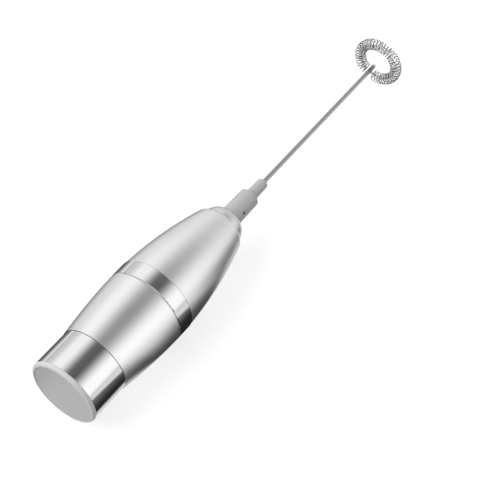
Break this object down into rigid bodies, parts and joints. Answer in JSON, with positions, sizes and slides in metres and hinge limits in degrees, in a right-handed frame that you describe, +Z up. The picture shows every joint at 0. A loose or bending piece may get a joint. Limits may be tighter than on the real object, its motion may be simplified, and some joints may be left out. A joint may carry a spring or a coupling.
{
  "type": "milk frother",
  "caption": "Handheld battery milk frother: barrel handle with tail button and pull-off battery cover, motor spindle, and a plug-in wire shaft ending in a coil-wound whisk ring.",
  "frame": {"origin": "centre of the end button's flat face, on the barrel's axis", "axes": "+X along the axis from the tail button to the whisk, +Z up with the frother lying on its side"},
  "size_m": [0.2297, 0.0368, 0.0368],
  "materials": {
    "satin_metal": "satin",
    "chrome": "polished",
    "bezel_metal": "satin",
    "grey_plastic": "satin",
    "stainless_wire": "polished",
    "chassis_plastic": "matte",
    "cell_jacket": "gloss",
    "spring_steel": "polished",
    "contact_strip": "satin",
    "black_rubber": "matte",
    "machined_steel": "satin",
    "motor_steel": "satin",
    "magnet": "matte",
    "moulded_black": "matte",
    "bearing_bronze": "satin",
    "copper": "gloss",
    "red_sleeve": "satin",
    "black_sleeve": "satin"
  },
  "bodies": {
    "handle": {"battery_chassis": "chassis_plastic", "battery_left": "cell_jacket", "battery_right": "cell_jacket", "positive_contact": "contact_strip", "negative_contact": "contact_strip", "battery_spring": "spring_steel", "cover_seal": "black_rubber", "mid_band": "chrome", "front_shell": "satin_metal", "nose_bezel": "bezel_metal", "nose_bush": "bearing_bronze", "shaft_seal": "black_rubber", "chassis_screws": "machined_steel", "motor_screws": "machined_steel", "motor_cup": "chassis_plastic", "motor_can": "motor_steel", "motor_end_cap": "moulded_black", "motor_terminals": "contact_strip", "motor_brushes": "contact_strip", "motor_magnets": "magnet", "front_bearing": "bearing_bronze", "rear_bearing": "bearing_bronze", "lead_positive": "red_sleeve", "lead_negative": "black_sleeve"},
    "battery_cover": {"end_rim": "grey_plastic", "end_collar": "chrome", "rear_shell": "satin_metal", "button_spring": "spring_steel"},
    "button": {"end_button": "grey_plastic", "button_clip": "spring_steel", "bridge_contact": "contact_strip"},
    "drive": {"motor_shaft": "machined_steel", "commutator": "copper", "armature": "motor_steel", "armature_windings": "copper", "drive_spindle": "machined_steel", "drive_pin": "machined_steel"},
    "whisk": {"whisk_coupling": "grey_plastic", "whisk_wire": "stainless_wire", "whisk_coil": "spring_steel"}
  },
  "joints": [
    {"name": "cover_pull", "type": "slide", "parent": "handle", "child": "battery_cover", "axis": [-1, 0, 0], "range_m": [0, 0.06]},
    {"name": "button_press", "type": "slide", "parent": "battery_cover", "child": "button", "axis": [1, 0, 0], "range_m": [0, 0.0015], "stiffness_N_per_m": 1200, "springref_m": -0.0015, "deforming": ["button_spring"]},
    {"name": "whisk_spin", "type": "hinge", "parent": "handle", "child": "drive", "pos_m": [0.1, 0, 0], "axis": [1, 0, 0], "continuous": true},
    {"name": "whisk_pull", "type": "slide", "parent": "drive", "child": "whisk", "axis": [1, 0, 0], "range_m": [0, 0.014]}
  ]
}
